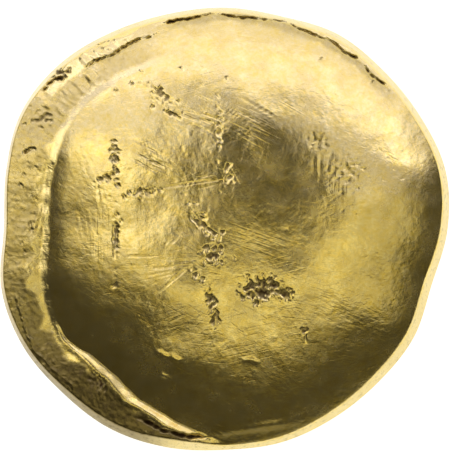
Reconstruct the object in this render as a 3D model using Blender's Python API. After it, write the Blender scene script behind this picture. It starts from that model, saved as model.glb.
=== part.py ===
"""Gold stater with a plain bulging face, lying with its bulge up on the rim of its hollow face.

Metres, +Z up. The origin is on the table, under the middle of the coin.
The coin was a globule of gold before it was struck, so the model starts as a sphere too:
each point of the sphere is moved to its place on the struck coin.
"""

import math

import bmesh
import bpy
import numpy as np

MM = 0.001

# Driving sizes of the coin.
FLAN_WIDTH = 17.0 * MM  # left to right, across the widest part of the edge
BULGE_TOP = 3.28 * MM  # the crown of the bulge over the table, before the hollows in it
EDGE_HEIGHT = 0.85 * MM  # the widest line of the edge over the table
MIDDLE_THICKNESS = 1.83 * MM  # the metal between the crown and the middle of the hollow face

# The ledge: metal that the die didn't cover, from the upper left round to the bottom.
LEDGE_DROP = 0.62 * MM  # its inner groove under the curve of the bulge
LEDGE_FLANK = 1.15 * MM  # how far the bulge takes to climb out of that groove
CREST_RISE = 0.24 * MM  # the lip over the groove
CREST_WIDTH = 0.26 * MM  # groove to top of the lip

# The seams, where the edge was folded against the face.
SEAM_DEPTH = 0.20 * MM
SEAM_WIDTH = 0.16 * MM

# The rim of the hollow face.
RIM_WAVE = 0.16 * MM  # its high stretches over its three low ones
RIM_WORN = 0.09 * MM  # worn off the low stretches, which leaves three flats

# Places as shares of the flan's half width. Angles are degrees from +X towards +Y.
EDGE_STEP = 15
EDGE_SHARES = np.array(
    [0.992, 1.017, 1.005, 0.999, 1.004, 0.982, 0.988, 0.993, 1.014, 1.043, 1.049, 1.012,
     0.988, 1.034, 1.043, 1.030, 1.028, 1.008, 0.985, 0.984, 0.972, 0.966, 0.970, 0.954]
)
GROOVE_SHARE = 0.80  # the ledge's groove, as a share of the way to the edge
GROOVE_END_SHARE = 0.94  # where it runs out, at the bottom
GROOVE_TURN = 240  # the angle where it starts to run out
LEDGE_START = (112, 160)  # the ledge fades in over these angles
LEDGE_END = (243, 270)  # and fades out over these
SEAM_SHARE = math.sin(math.radians(73 + 1 / 3))
SEAM_ENDS = (38, 112)
RIM_SHARE = 0.87
RIM_LOW_ANGLE = 95  # one of the rim's three low stretches
DISH_ROUNDING = 1.35  # over 1, so that the dish runs softly into its rim

# Hollows of the bulge: x, y, half length and half width as shares, the turn of the length, and the depth.
# A swell has a depth under zero.
HOLLOWS = (
    (0.13, 0.28, 0.20, 0.13, -42, 0.20 * MM),
    (0.26, -0.06, 0.13, 0.09, -10, 0.07 * MM),
    (-0.06, 0.13, 0.24, 0.14, 10, 0.06 * MM),
    (0.08, -0.36, 0.30, 0.22, 0, -0.10 * MM),
    (0.42, -0.08, 0.20, 0.30, -20, -0.05 * MM),
    (-0.40, -0.12, 0.30, 0.18, 0, -0.07 * MM),
    (-0.42, -0.50, 0.34, 0.17, -25, 0.13 * MM),
)

# The sphere's points.
SPOKES = 100
RINGS = 45
EDGE_LATITUDE = -30  # two thirds of the rings go to the bulging face
SECTION_SHARES = (0, 0.3, 0.8, 1)  # the bulging face's rings, crown to edge,
SECTION_ANGLES = (0, 42, 70, 90)  # are crowded together over the ledge

GOLD = (0.83, 0.60, 0.16, 1.0)
GOLD_ROUGHNESS = 0.32


def eased(value, low, high):
    """0 below low, 1 above high, and a smooth climb between them."""
    t = np.clip((value - low) / (high - low), 0, 1)
    return t * t * (3 - 2 * t)


def edge_share(angle):
    """How far out the edge lies: a smooth closed curve through EDGE_SHARES."""
    place = (angle % 360) / EDGE_STEP
    first = np.floor(place).astype(int)
    t = place - first
    before, here, after, beyond = (EDGE_SHARES[(first + k) % len(EDGE_SHARES)] for k in (-1, 0, 1, 2))
    slope = after - before
    bend = 2 * before - 5 * here + 4 * after - beyond
    twist = 3 * (here - after) + beyond - before
    return here + t * (slope + t * (bend + t * twist)) / 2


def spoke_angles():
    return np.arange(SPOKES) * 360 / SPOKES


def half_width():
    """The flan's half width, so that the outline through the spokes is FLAN_WIDTH across."""
    angle = spoke_angles()
    reach = edge_share(angle) * np.cos(np.radians(angle))
    return FLAN_WIDTH / (reach.max() - reach.min())


def ledge_strength(angle):
    return eased(angle, *LEDGE_START) * (1 - eased(angle, *LEDGE_END))


def groove_share(angle):
    run_out = np.clip((angle - GROOVE_TURN) / (LEDGE_END[1] - GROOVE_TURN), 0, 1)
    return GROOVE_SHARE + (GROOVE_END_SHARE - GROOVE_SHARE) * run_out**2


def ledge_drop(angle, share, reach):
    """How far the ledge lies under the curve of the bulge, by the distance in from its groove."""
    inward = (groove_share(angle) - share) * reach
    flank = LEDGE_DROP * np.exp(-np.maximum(inward, 0) / LEDGE_FLANK)
    lip = CREST_RISE * eased(-inward, 0, CREST_WIDTH)
    margin = (1 - groove_share(angle)) * reach - CREST_WIDTH
    falling = 1 - eased(-inward - CREST_WIDTH, 0, margin)
    return ledge_strength(angle) * (flank - lip) * falling


def seam_drop(angle, share, reach):
    """The seam between the folded edge and the face."""
    start, end = SEAM_ENDS
    present = eased(angle, start, start + 8) * (1 - eased(angle, end - 8, end))
    across = (share - SEAM_SHARE) * reach / (SEAM_WIDTH / 2)
    return SEAM_DEPTH * present * np.exp(-(across**2))


def hollow_drop(x, y):
    """All the hollows and swells of the bulge together. x and y are shares."""
    drop = np.zeros_like(x)
    for place_x, place_y, half_length, half_breadth, turn, depth in HOLLOWS:
        cos, sin = math.cos(math.radians(turn)), math.sin(math.radians(turn))
        along = ((x - place_x) * cos + (y - place_y) * sin) / half_length
        across = ((y - place_y) * cos - (x - place_x) * sin) / half_breadth
        drop += depth * np.exp(-(along**2) - across**2)
    return drop


def bulge_height(angle, section):
    """The bulging face. section is 0 degrees at the crown and 90 at the edge."""
    share = np.sin(np.radians(section))
    out = share * edge_share(angle)
    reach = edge_share(angle) * half_width()
    crown = (BULGE_TOP - EDGE_HEIGHT) * np.cos(np.radians(section))
    hollows = hollow_drop(out * np.cos(np.radians(angle)), out * np.sin(np.radians(angle)))
    carved = ledge_drop(angle, share, reach) + seam_drop(angle, share, reach) + hollows
    return EDGE_HEIGHT + crown - carved * eased(section, 90, 80)


def dish_height(angle, section):
    """The hollow face: a rounded rim with three worn flats round a shallow dish."""
    share = np.sin(np.radians(section))
    wave = RIM_WAVE * (1 - np.cos(np.radians(3 * (angle - RIM_LOW_ANGLE)))) / 2
    outward = np.clip((share - RIM_SHARE) / (1 - RIM_SHARE), 0, 1)
    rounding = 1 - np.sqrt(1 - outward**2)
    inward = 1 - np.clip(share / RIM_SHARE, 0, 1) ** 2
    rim = (wave - RIM_WORN) * (1 - outward**2) * (1 - inward)
    dish = (BULGE_TOP - MIDDLE_THICKNESS) * inward**DISH_ROUNDING
    return np.maximum(rim + EDGE_HEIGHT * rounding + dish, 0)


def struck(sphere_points):
    """The places on the coin of points on the unit sphere."""
    angle = np.degrees(np.arctan2(sphere_points[:, 1], sphere_points[:, 0])) % 360
    latitude = np.degrees(np.arcsin(np.clip(sphere_points[:, 2], -1, 1)))
    upper = latitude >= EDGE_LATITUDE - 0.01
    down = np.interp((90 - latitude) / (90 - EDGE_LATITUDE), SECTION_SHARES, SECTION_ANGLES)
    up = 90 * (latitude + 90) / (EDGE_LATITUDE + 90)
    section = np.where(upper, down, up)
    height = np.where(upper, bulge_height(angle, section), dish_height(angle, section))
    out = np.sin(np.radians(section)) * edge_share(angle) * half_width()
    return np.column_stack((out * np.cos(np.radians(angle)), out * np.sin(np.radians(angle)), height))


def centred(points):
    """The same points with the origin on the table, under the middle of the coin."""
    low, high = points.min(0), points.max(0)
    middle = (low + high) / 2
    return points - (middle[0], middle[1], low[2])


def gold():
    material = bpy.data.materials.new("gold")
    material.use_nodes = True
    shader = material.node_tree.nodes["Principled BSDF"]
    shader.inputs["Base Color"].default_value = GOLD
    shader.inputs["Metallic"].default_value = 1.0
    shader.inputs["Roughness"].default_value = GOLD_ROUGHNESS
    return material


def stater_coin(collection):
    """The struck coin, one solid."""
    globule = bmesh.new()
    bmesh.ops.create_uvsphere(globule, u_segments=SPOKES, v_segments=RINGS, radius=1)
    points = np.array([vertex.co for vertex in globule.verts])
    for vertex, place in zip(globule.verts, centred(struck(points))):
        vertex.co = place
    bmesh.ops.triangulate(globule, faces=globule.faces)
    bmesh.ops.recalc_face_normals(globule, faces=globule.faces)
    mesh = bpy.data.meshes.new("stater_coin")
    globule.to_mesh(mesh)
    globule.free()
    mesh.materials.append(gold())
    mesh.shade_smooth()
    coin = bpy.data.objects.new("stater_coin", mesh)
    collection.objects.link(coin)
    return coin


def main():
    for old in list(bpy.data.objects):
        bpy.data.objects.remove(old)
    collection = bpy.data.collections.new("Gold stater")
    bpy.context.scene.collection.children.link(collection)
    coin = stater_coin(collection)
    print(f"coin {[round(side / MM, 2) for side in coin.dimensions]} mm, {len(coin.data.polygons)} triangles")


main()
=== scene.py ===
# %% [markdown]
# # A gold stater, lying with its bulging face up
#
# A stater is a small, thick gold coin. This one was struck by hand: a warm globule of gold was laid on a hollow
# die and hit, so one face bulges and the other is hollow. The bulging face has no picture on it. What makes it
# worth looking at is the metal itself: the ledge that the die didn't cover, seams where the edge folded over,
# two thousand years of knocks, and the dirt that stayed in them, with painted shade in the seams and the groove.
#
# The imported model gives the coin's place and size, and this script gives it its surface. We build one fine mesh
# that takes the plain solid's place, then its gold, the light and the camera.

# %% Load the imported coin
import math

import bmesh
import bpy
import numpy as np
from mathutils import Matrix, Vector


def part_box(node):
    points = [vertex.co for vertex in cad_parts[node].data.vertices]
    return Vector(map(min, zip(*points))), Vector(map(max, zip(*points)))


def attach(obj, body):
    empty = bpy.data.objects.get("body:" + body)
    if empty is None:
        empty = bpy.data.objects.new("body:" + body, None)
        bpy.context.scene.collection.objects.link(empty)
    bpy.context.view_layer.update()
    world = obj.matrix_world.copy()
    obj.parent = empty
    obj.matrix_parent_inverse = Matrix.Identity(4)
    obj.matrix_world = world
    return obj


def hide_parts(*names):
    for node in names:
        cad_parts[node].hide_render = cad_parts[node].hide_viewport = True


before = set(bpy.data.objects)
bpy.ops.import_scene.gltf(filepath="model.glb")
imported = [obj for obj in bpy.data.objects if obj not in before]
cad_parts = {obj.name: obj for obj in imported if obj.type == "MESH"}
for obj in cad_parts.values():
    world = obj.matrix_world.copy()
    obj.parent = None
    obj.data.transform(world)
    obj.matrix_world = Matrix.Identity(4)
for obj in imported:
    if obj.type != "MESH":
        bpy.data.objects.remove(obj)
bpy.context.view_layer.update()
low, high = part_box("stater_coin")
MM = 0.001
FLAN_WIDTH = high.x - low.x
COIN_HEIGHT = high.z - low.z
print(f"the packed coin is {FLAN_WIDTH / MM:.2f} mm wide and {COIN_HEIGHT / MM:.2f} mm high")

# %% [markdown]
# ## The table and the camera
#
# The coin lies on a pale table and the camera looks straight down on it. A close-up of so small a thing is taken
# with a long lens from well back, which keeps the circle of the coin free of perspective. We could bring a short
# lens close, but then the lens would see itself in most of the gold.
#
# The photograph is 455 by 459 pixels, and the coin is 448 of them wide. That sets the size of a pixel on the
# coin, and with it the width of the view.

# %% The camera
PHOTO_SIZE = (455, 459)
COIN_PIXELS = 448
COIN_OFF_CENTRE = (-2.7, 0.6)  # pixels, to the right and up
CAMERA_DISTANCE = 0.36
SENSOR = 0.036

pixel = FLAN_WIDTH / COIN_PIXELS
camera_data = bpy.data.cameras.new("camera")
camera_data.sensor_width = SENSOR * 1000
camera_data.lens = SENSOR * 1000 * CAMERA_DISTANCE / (max(PHOTO_SIZE) * pixel)
camera_data.clip_start = 0.01
camera_data.clip_end = 10
camera = bpy.data.objects.new("camera", camera_data)
camera.location = (-COIN_OFF_CENTRE[0] * pixel, -COIN_OFF_CENTRE[1] * pixel, CAMERA_DISTANCE)
bpy.context.scene.collection.objects.link(camera)
bpy.context.scene.camera = camera
print(f"one pixel is {pixel / MM:.4f} mm, and the lens is {camera_data.lens:.0f} mm long")

# %% [markdown]
# The table is a light table, as for small finds: an even, nearly white sheet that glows a little from below. It
# takes away hard shadows, and its light is what the steep rim of the coin mirrors.

# %% The light table
TABLE_RADIUS = 1.5
TABLE_GLOW = 0.95

table_mesh = bmesh.new()
bmesh.ops.create_circle(table_mesh, cap_ends=True, segments=64, radius=TABLE_RADIUS)
table_data = bpy.data.meshes.new("table")
table_mesh.to_mesh(table_data)
table_mesh.free()
table = bpy.data.objects.new("table", table_data)
bpy.context.scene.collection.objects.link(table)
table_material = bpy.data.materials.new("table_white")
table_material.use_nodes = True
table_shader = table_material.node_tree.nodes["Principled BSDF"]
table_shader.inputs["Base Color"].default_value = (0.5, 0.5, 0.49, 1)
table_shader.inputs["Roughness"].default_value = 0.9
table_shader.inputs["Specular IOR Level"].default_value = 0.0
table_shader.inputs["Emission Color"].default_value = (1, 1, 0.99, 1)
table_shader.inputs["Emission Strength"].default_value = TABLE_GLOW
table.data.materials.append(table_material)
print("a light table", 2 * TABLE_RADIUS, "m across")

# %% [markdown]
# ## The light
#
# Gold shows what it mirrors, so lighting it means choosing what stands round it. The photograph tells us: the
# slopes that face its top edge are bright, the ones that face the other way are dark, and the crown is a little
# dark where it mirrors the lens. So there are large, cool softboxes at the top and small warm ones at the other
# sides, in a dim warm room. A picture of a sky would light it too, but lamps can be moved one by one.
#
# Each lamp is placed by two angles, its direction round the coin and its angle from straight overhead.

# %% The lamps
LAMP_DISTANCE = 0.40


def softbox(name, turn, lean, width, height, brightness, colour):
    """An area lamp that faces the coin. turn is its direction in degrees, lean its angle from overhead."""
    turn, lean = math.radians(turn), math.radians(lean)
    away = Vector((math.sin(lean) * math.cos(turn), math.sin(lean) * math.sin(turn), math.cos(lean)))
    data = bpy.data.lights.new(name, "AREA")
    data.shape = "RECTANGLE"
    data.size = width
    data.size_y = height
    data.energy = brightness * math.pi * width * height
    data.color = colour
    lamp = bpy.data.objects.new(name, data)
    lamp.location = away * LAMP_DISTANCE
    lamp.rotation_euler = away.to_track_quat("Z", "Y").to_euler()
    bpy.context.scene.collection.objects.link(lamp)


COOL = (1.0, 0.99, 1.33)
WARM = (1.0, 0.95, 0.66)
LAMPS = (
    # name, turn, lean, width, height, brightness, colour
    ("key", 80, 61, 0.98, 0.45, 1.0, COOL),
    ("key_middle", 72, 48, 0.62, 0.15, 0.3, COOL),
    ("key_low", 80, 28, 0.42, 0.12, 0.34, COOL),
    ("upper_left", 145, 41, 0.22, 0.46, 0.78, COOL),
    ("left", 182, 19, 0.17, 0.13, 0.74, WARM),
    ("left_high", 168, 37, 0.15, 0.16, 0.6, WARM),
    ("below", 266, 19, 0.17, 0.12, 0.86, WARM),
    ("below_low", 280, 72, 0.5, 0.14, 0.18, WARM),
    ("lower_right", 312, 27, 0.15, 0.13, 0.5, WARM),
    ("right", 345, 36, 0.2, 0.26, 0.56, WARM),
    ("upper_right", 22, 42, 0.16, 0.3, 0.46, COOL),
)
for lamp in LAMPS:
    softbox(*lamp)

ROOM_COLOUR = (1.0, 0.93, 0.72, 1)
ROOM_GLOW = 0.045
world = bpy.data.worlds.new("dim_room")
world.use_nodes = True
room = world.node_tree.nodes["Background"]
room.inputs["Color"].default_value = ROOM_COLOUR
room.inputs["Strength"].default_value = ROOM_GLOW
bpy.context.scene.world = world
bpy.context.scene.view_settings.view_transform = "Standard"

# %% [markdown]
# ## The shape of the coin, as a height for each place
#
# Nothing on this face overhangs, so its whole shape can be said as a height over the table for each place on the
# coin. We write that height as a few functions that are added up: the bulge, the ledge beside it, the seams, and
# then every dent and scratch. A sculpted mesh would do as well, but functions keep each feature's size in words.
#
# We start with the helpers: two smooth steps, and the outline of the flan, which is how far out the edge lies in
# each direction.

# %% The outline of the flan
EDGE_STEP = 15  # degrees
EDGE_SHARES = np.array(
    [0.992, 1.017, 1.005, 0.999, 1.004, 0.982, 0.988, 0.993, 1.014, 1.043, 1.049, 1.012,
     0.988, 1.034, 1.043, 1.030, 1.028, 1.008, 0.985, 0.984, 0.972, 0.966, 0.970, 0.954]
)


def eased(value, low, high):
    """0 below low, 1 above high, and a smooth climb between them."""
    t = np.clip((value - low) / (high - low), 0, 1)
    return t * t * (3 - 2 * t)


def between(value, rise, fall):
    """0, then 1 after the rise, and 0 again after the fall. Each says where it starts and ends."""
    return eased(value, *rise) * (1 - eased(value, *fall))


def edge_share(angle):
    """How far out the edge lies, as a share of half the flan's width: a smooth closed curve."""
    place = (angle % 360) / EDGE_STEP
    first = np.floor(place).astype(int)
    t = place - first
    before, here, after, beyond = (EDGE_SHARES[(first + k) % len(EDGE_SHARES)] for k in (-1, 0, 1, 2))
    slope = after - before
    bend = 2 * before - 5 * here + 4 * after - beyond
    twist = 3 * (here - after) + beyond - before
    return here + t * (slope + t * (bend + t * twist)) / 2


degrees_round = np.arange(0, 360, 3.6)
across = edge_share(degrees_round) * np.cos(np.radians(degrees_round))
HALF_WIDTH = FLAN_WIDTH / (across.max() - across.min())
print(f"half the flan's width is {HALF_WIDTH / MM:.3f} mm")

# %% [markdown]
# Next come the two simple forms that the whole face is made of. The dome falls away from its crown, first gently
# and then faster. The rim is the steep flank of the coin, which climbs from the widest line of the edge. Where
# they cross there is a shoulder, and a soft minimum of the two rounds it off. The shoulder is what draws the
# bright line round the coin: below it the gold mirrors the table. At the left the rim is steepest and gets little
# of the pale rubbed colour and its painted highlight, so the line is thin and dark there.

# %% The dome and the rim
BULGE_TOP = 3.28 * MM
EDGE_HEIGHT = 0.85 * MM
SHOULDER_SHARE = 0.955
SHOULDER_FALL = 1.83 * MM  # the crown over the shoulder
DOME_SQUARENESS = 0.45  # 0 is an even curve, and 1 is flat with a sudden fall
CROWN_PLACE = (0.3 * MM, 1.3 * MM)  # from the coin's middle
SHOULDER_TIP = 0.14 * MM  # the shoulder is lower on this side
TIP_ANGLE = 245
RIM_RISES = (0.62 * MM, 0.95 * MM)  # the shoulder over the edge, all round and at the left
RIM_HIGH = (168, 14)  # its angle, and a power: a higher one makes the high part shorter
RIM_BREADTHS = (0.2 * MM, 0.46 * MM)  # edge to shoulder seen from above, at the upper left and lower right
RIM_BROAD = (292, 3)
RIM_CURVE = 0.92  # 1 is a straight flank
RIM_DARK = ((128, 160), (246, 264))  # between these angles the rim gets little of the pale rubbed colour and painted highlight, and it is steepest
RIM_DARK_NARROWING = 0.45  # of the narrow breadth
SHOULDER_ROUNDING = 0.015 * MM


def dome_height(angle, share, reach):
    """A dome with its crown off the middle: it is pushed over less and less towards the edge."""
    push = 1 - np.minimum(share, 1) ** 2
    x = share * reach * np.cos(np.radians(angle)) - CROWN_PLACE[0] * push
    y = share * reach * np.sin(np.radians(angle)) - CROWN_PLACE[1] * push
    s = np.hypot(x, y) / reach / SHOULDER_SHARE
    fall = SHOULDER_FALL + SHOULDER_TIP * s * np.cos(np.radians(angle - TIP_ANGLE))
    return BULGE_TOP - fall * ((1 - DOME_SQUARENESS) * s**2 + DOME_SQUARENESS * s**4)


def facing(angle, direction, power):
    """1 in the direction, and less and less away from it."""
    return ((1 + np.cos(np.radians(angle - direction))) / 2) ** power


def rim_rise(angle):
    low, high = RIM_RISES
    return low + (high - low) * facing(angle, *RIM_HIGH)


def rim_height(angle, share, reach):
    narrow, broad = RIM_BREADTHS
    breadth = narrow + (broad - narrow) * facing(angle, *RIM_BROAD)
    breadth = breadth - RIM_DARK_NARROWING * narrow * between(angle, *RIM_DARK)
    climb = np.clip((1 - share) * reach / breadth, 0, 50)
    return EDGE_HEIGHT + rim_rise(angle) * climb**RIM_CURVE


def lower_of(first, second, rounding):
    """The lower of two heights, with the corner between them rounded off."""
    return -rounding * np.logaddexp(-first / rounding, -second / rounding)


print("the shoulder is", round((BULGE_TOP - SHOULDER_FALL) / MM, 2), "mm over the table")

# %% [markdown]
# The crescent ledge at the left is where the flan stuck out past the die, so that the metal wasn't pushed up into
# the bulge. At the left it begins with a soft crest, and at the lower left with a sharp groove, where the die's
# edge bit, and a lip beside it. Then come a nearly flat shelf and a flank that falls away to the rim. The ledge
# starts faintly at the top of the coin, is at its broadest at the left, and narrows to a point at the bottom. One
# profile swept round would be quicker, but the sizes change along the ledge, so small tables give them.

# %% The ledge
SHELF_SLOPE = 0.07
CREST = (0.045 * MM, 0.28 * MM)  # how far the ledge's inner edge stands over the shelf, and how broad it is
GROOVE_SHARE = 0.79
GROOVE_END_SHARE = 0.938
GROOVE_TURN = 232  # degrees, where the groove starts to run out to the edge
GROOVE_END = 267
GROOVE_BEND = (214, 9, 0.036)  # the groove lies further out round this angle
LEDGE_START = (80, 160)
LEDGE_END = (256, 275)
LIP_START = (118, 165)
# Sizes that change along the ledge: at these angles, in millimetres.
LEDGE_ANGLES = (118, 150, 185, 208, 222, 240, 262)
FLANK_DROPS = (0.01, 0.03, 0.07, 0.16, 0.18, 0.14, 0.12)  # the groove under the curve of the dome
FLANK_REACHES = (0.6, 0.6, 0.7, 1.8, 3.0, 3.0, 3.0)  # how far in from the groove the bulge is drawn down to it
GROOVE_DEPTHS = (0.0, 0.0, 0.0, 0.0, 0.09, 0.13, 0.14)  # under the lip
LIP_BREADTHS = (0.02, 0.02, 0.02, 0.02, 0.2, 0.3, 0.24)  # groove to top of the lip
SHELF_WIDTHS = (0.16, 0.22, 0.6, 0.52, 0.24, 0.1, 0.06)


def ragged(angle, start=0.0):
    """Uneven numbers between about -1 and 1 along the ledge, for edges that aren't smooth."""
    a = np.radians(angle)
    return 0.5 * np.sin(11 * a + start) + 0.35 * np.sin(27 * a + 2 * start) + 0.25 * np.sin(61 * a + 3 * start)


def sizes_along(angle, *tables):
    """Sizes of the ledge at each angle, in metres."""
    return (MM * np.interp(angle, LEDGE_ANGLES, table) for table in tables)


def groove_share(angle):
    run_out = np.clip((angle - GROOVE_TURN) / (GROOVE_END - GROOVE_TURN), 0, 1.2)
    place, breadth, further = GROOVE_BEND
    bend = further * np.exp(-(((angle - place) / breadth) ** 2)) + 0.005 * ragged(angle)
    return GROOVE_SHARE + bend + (GROOVE_END_SHARE - GROOVE_SHARE) * run_out**1.2


def ledge_height(angle, share, reach):
    """The bulge's flank inside the groove, and the lip, the shelf and their flank outside it."""
    drop, inner, depth = sizes_along(angle, FLANK_DROPS, FLANK_REACHES, GROOVE_DEPTHS)
    breadth, shelf = sizes_along(angle, LIP_BREADTHS, SHELF_WIDTHS)
    depth = depth * eased(angle, *LIP_START) * (1 + 0.25 * ragged(angle, 4))
    breadth = breadth * (1 + 0.35 * ragged(angle, 1))
    shelf = shelf * (1 + 0.5 * ragged(angle, 2))
    groove = groove_share(angle)
    inward = (groove - share) * reach
    groove_height = dome_height(angle, groove, reach) - drop
    flank = drop * np.clip(1 - inward / inner, 0, 1) ** 2
    climb = depth * np.clip(-inward / breadth, 0, 1)
    crest, crest_breadth = CREST
    on_shelf = np.clip((-inward - breadth) / shelf, 0, 1)
    margin = np.maximum((1 - groove) * reach - breadth - shelf, 0.1 * MM)
    beyond = np.clip((-inward - breadth - shelf) / margin, 0, 1)
    shelf_end = groove_height + depth - SHELF_SLOPE * shelf - crest
    falling = SHELF_SLOPE * shelf * on_shelf + (shelf_end - EDGE_HEIGHT - rim_rise(angle)) * beyond
    falling = falling + crest * eased(-inward - breadth, -0.2 * crest_breadth, crest_breadth)
    return np.where(inward > 0, dome_height(angle, share, reach) - flank, groove_height + climb - falling)


def ledge_strength(angle):
    return eased(angle, *LEDGE_START) ** 1.5 * (1 - eased(angle, *LEDGE_END))


def inner_height(angle, share, reach):
    """The dome with the ledge let into it."""
    dome = dome_height(angle, share, reach)
    return dome + (ledge_height(angle, share, reach) - dome) * ledge_strength(angle)


print("the groove lies", round((1 - GROOVE_SHARE) * HALF_WIDTH / MM, 2), "mm in from the edge")

# %% [markdown]
# Not all of the surface is alike. The die never pressed the ledge's outer flank, nor the narrow margin inside the
# fold at the top, so their metal is coarse, and its darker colour is partly painted shade. What stands out was
# rubbed bright by hands and other coins: the rim, the folded edge and the ledge's crest, and their paler colour
# is partly a painted highlight. Both follow from the shape, so we work them out from the same numbers instead of
# painting them.

# %% Coarse and rubbed places
COARSENESS = (0.3, 0.35, 0.4, 0.8, 1.0, 1.0, 1.0)  # of the flank outside the shelf, from 0 to 1
# The fold that the seams at the top follow: at these angles, how far out it lies in millimetres.
FOLD_ANGLES = (36, 106, 114, 132, 150)
FOLD_REACHES = (8.1, 8.1, 7.88, 8.02, 8.3)
FOLD_START = (34, 44)
FOLD_END = (136, 150)
MARGIN = (0.16 * MM, 0.4 * MM)  # inside the fold: where its coarse margin fades and where it ends
MARGIN_END = (100, 112)
MARGIN_COARSENESS = 0.4
COARSE_START = (104, 120)
COARSE_BORDER = (-0.06 * MM, 0.14 * MM)  # where the coarse metal begins and where it is full
# What is rubbed bright and painted paler as a highlight: how far the rim lies under the face, and how far out the
# fold and the crest go.
RIM_RUBBED_AND_HIGHLIT = (0.02 * MM, 0.08 * MM)
FOLD_RUBBED_AND_HIGHLIT = (0.0 * MM, 0.08 * MM)
CREST_RUBBED_AND_HIGHLIT = (-0.04 * MM, 0.05 * MM, 0.1 * MM, 0.34 * MM)
CREST_RUBBED_AND_HIGHLIT_ALONG = ((105, 118), (203, 218))  # the crest is rubbed and given a painted highlight between these angles
RIM_DULLING = 0.9  # how much of the rubbed colour and painted highlight the rim loses where it is dark


def coarse_share(angle, share, reach):
    """1 on the ledge's outer flank, which was never under the die, and 0 everywhere else."""
    lip, shelf = sizes_along(angle, LIP_BREADTHS, SHELF_WIDTHS)
    border = lip + shelf * (1 + 0.5 * ragged(angle, 2)) + 0.10 * MM * ragged(3 * angle, 1)
    outside = eased((share - groove_share(angle)) * reach - border, *COARSE_BORDER)
    flank = outside * between(angle, COARSE_START, LEDGE_END) * np.interp(angle, LEDGE_ANGLES, COARSENESS)
    inside = fold_reach(angle) - share * reach
    full, end = MARGIN
    margin = 1 - eased(inside, full, end * (1 + 0.4 * ragged(angle)))
    coarse = np.maximum(flank, MARGIN_COARSENESS * margin * between(angle, FOLD_START, MARGIN_END))
    return coarse * (1 - np.maximum.reduce(rubbed_and_highlight_places(angle, share, reach)))


def fold_reach(angle):
    return MM * np.interp(angle, FOLD_ANGLES, FOLD_REACHES)


def rubbed_and_highlight_places(angle, share, reach):
    """1 on what is rubbed bright and painted paler as a highlight: the steep rim, the folded edge at the top, and
    the ledge's crest.
    """
    under = inner_height(angle, share, reach) - rim_height(angle, share, reach)
    rim = eased(under, *RIM_RUBBED_AND_HIGHLIT) * (1 - RIM_DULLING * between(angle, *RIM_DARK))
    folded = eased(share * reach - fold_reach(angle), *FOLD_RUBBED_AND_HIGHLIT) * between(angle, FOLD_START, FOLD_END)
    lip, shelf = sizes_along(angle, LIP_BREADTHS, SHELF_WIDTHS)
    outward = (share - groove_share(angle)) * reach
    start, full, fading, end = CREST_RUBBED_AND_HIGHLIT
    crest = eased(outward, start, full + 0.5 * lip) * (1 - eased(outward - lip, fading, end))
    crest = crest * (1 - eased(outward, lip + shelf, lip + shelf + 0.20 * MM))
    return rim, folded, crest * between(angle, *CREST_RUBBED_AND_HIGHLIT_ALONG)


def plain_height(angle, share, reach):
    """The face without its hollows and marks: dome and ledge, cut off by the rim."""
    return lower_of(inner_height(angle, share, reach), rim_height(angle, share, reach), SHOULDER_ROUNDING)


print("the rubbed crest runs from", CREST_RUBBED_AND_HIGHLIT_ALONG[0][0], "to", CREST_RUBBED_AND_HIGHLIT_ALONG[1][1], "degrees")

# %% [markdown]
# The bulge itself isn't an even dome. The hammer and long wear left it with broad, shallow hollows and swells.
# They are only a tenth of a millimetre deep, but gold makes every change of slope show. Each is a soft, oval
# bell: where it is, how long and wide, which way it lies, and how deep. A swell is a hollow of less than nothing.

# %% Hollows and swells
HOLLOWS = (
    # x, y, half length and half breadth in millimetres, turn, and depth in millimetres
    (0.9, -2.8, 3.0, 1.5, 90, 0.12),
    (1.0, 2.6, 1.4, 0.5, -54, 0.032),
    (1.3, 4.1, 2.0, 1.1, -30, -0.09),
    (-2.2, 1.2, 1.7, 1.2, 0, 0.08),
    (1.9, -2.0, 1.3, 1.1, 0, -0.06),
    (-2.0, -2.4, 1.5, 1.0, -10, -0.07),
    (-0.6, -0.8, 0.8, 0.8, 0, -0.02),
    (1.4, -7.45, 1.3, 0.16, 8, -0.04),
    (-7.1, 0.4, 0.42, 0.07, 70, -0.03),
    (-6.84, 0.46, 0.42, 0.07, 70, -0.03),
)


def in_oval(x, y, place_x, place_y, half_length, half_breadth, turn):
    """How far along and across a turned oval each point is: 1 or -1 at its ends and sides."""
    cos, sin = math.cos(math.radians(turn)), math.sin(math.radians(turn))
    dx, dy = x - place_x, y - place_y
    return (dx * cos + dy * sin) / half_length, (dy * cos - dx * sin) / half_breadth


def bell(x, y, *oval):
    """1 at the middle of the oval, and softly less round it."""
    along, across = in_oval(x, y, *oval)
    return np.exp(-(along**2) - across**2)


def hollow_drop(x, y):
    """All the hollows and swells together, in metres. x and y are millimetres."""
    return MM * sum(depth * bell(x, y, *place) for *place, depth in HOLLOWS)


print(len(HOLLOWS), "hollows and swells")

# %% [markdown]
# ## Seams, cracks and the gash
#
# Where the edge was folded against the face it left thin dark lines. Each is a run of places on the coin, a
# width and a depth. The line wanders a little, because torn metal is never smooth, so we shift it by a few sine
# waves before measuring how far each point of the face is from it.

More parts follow.
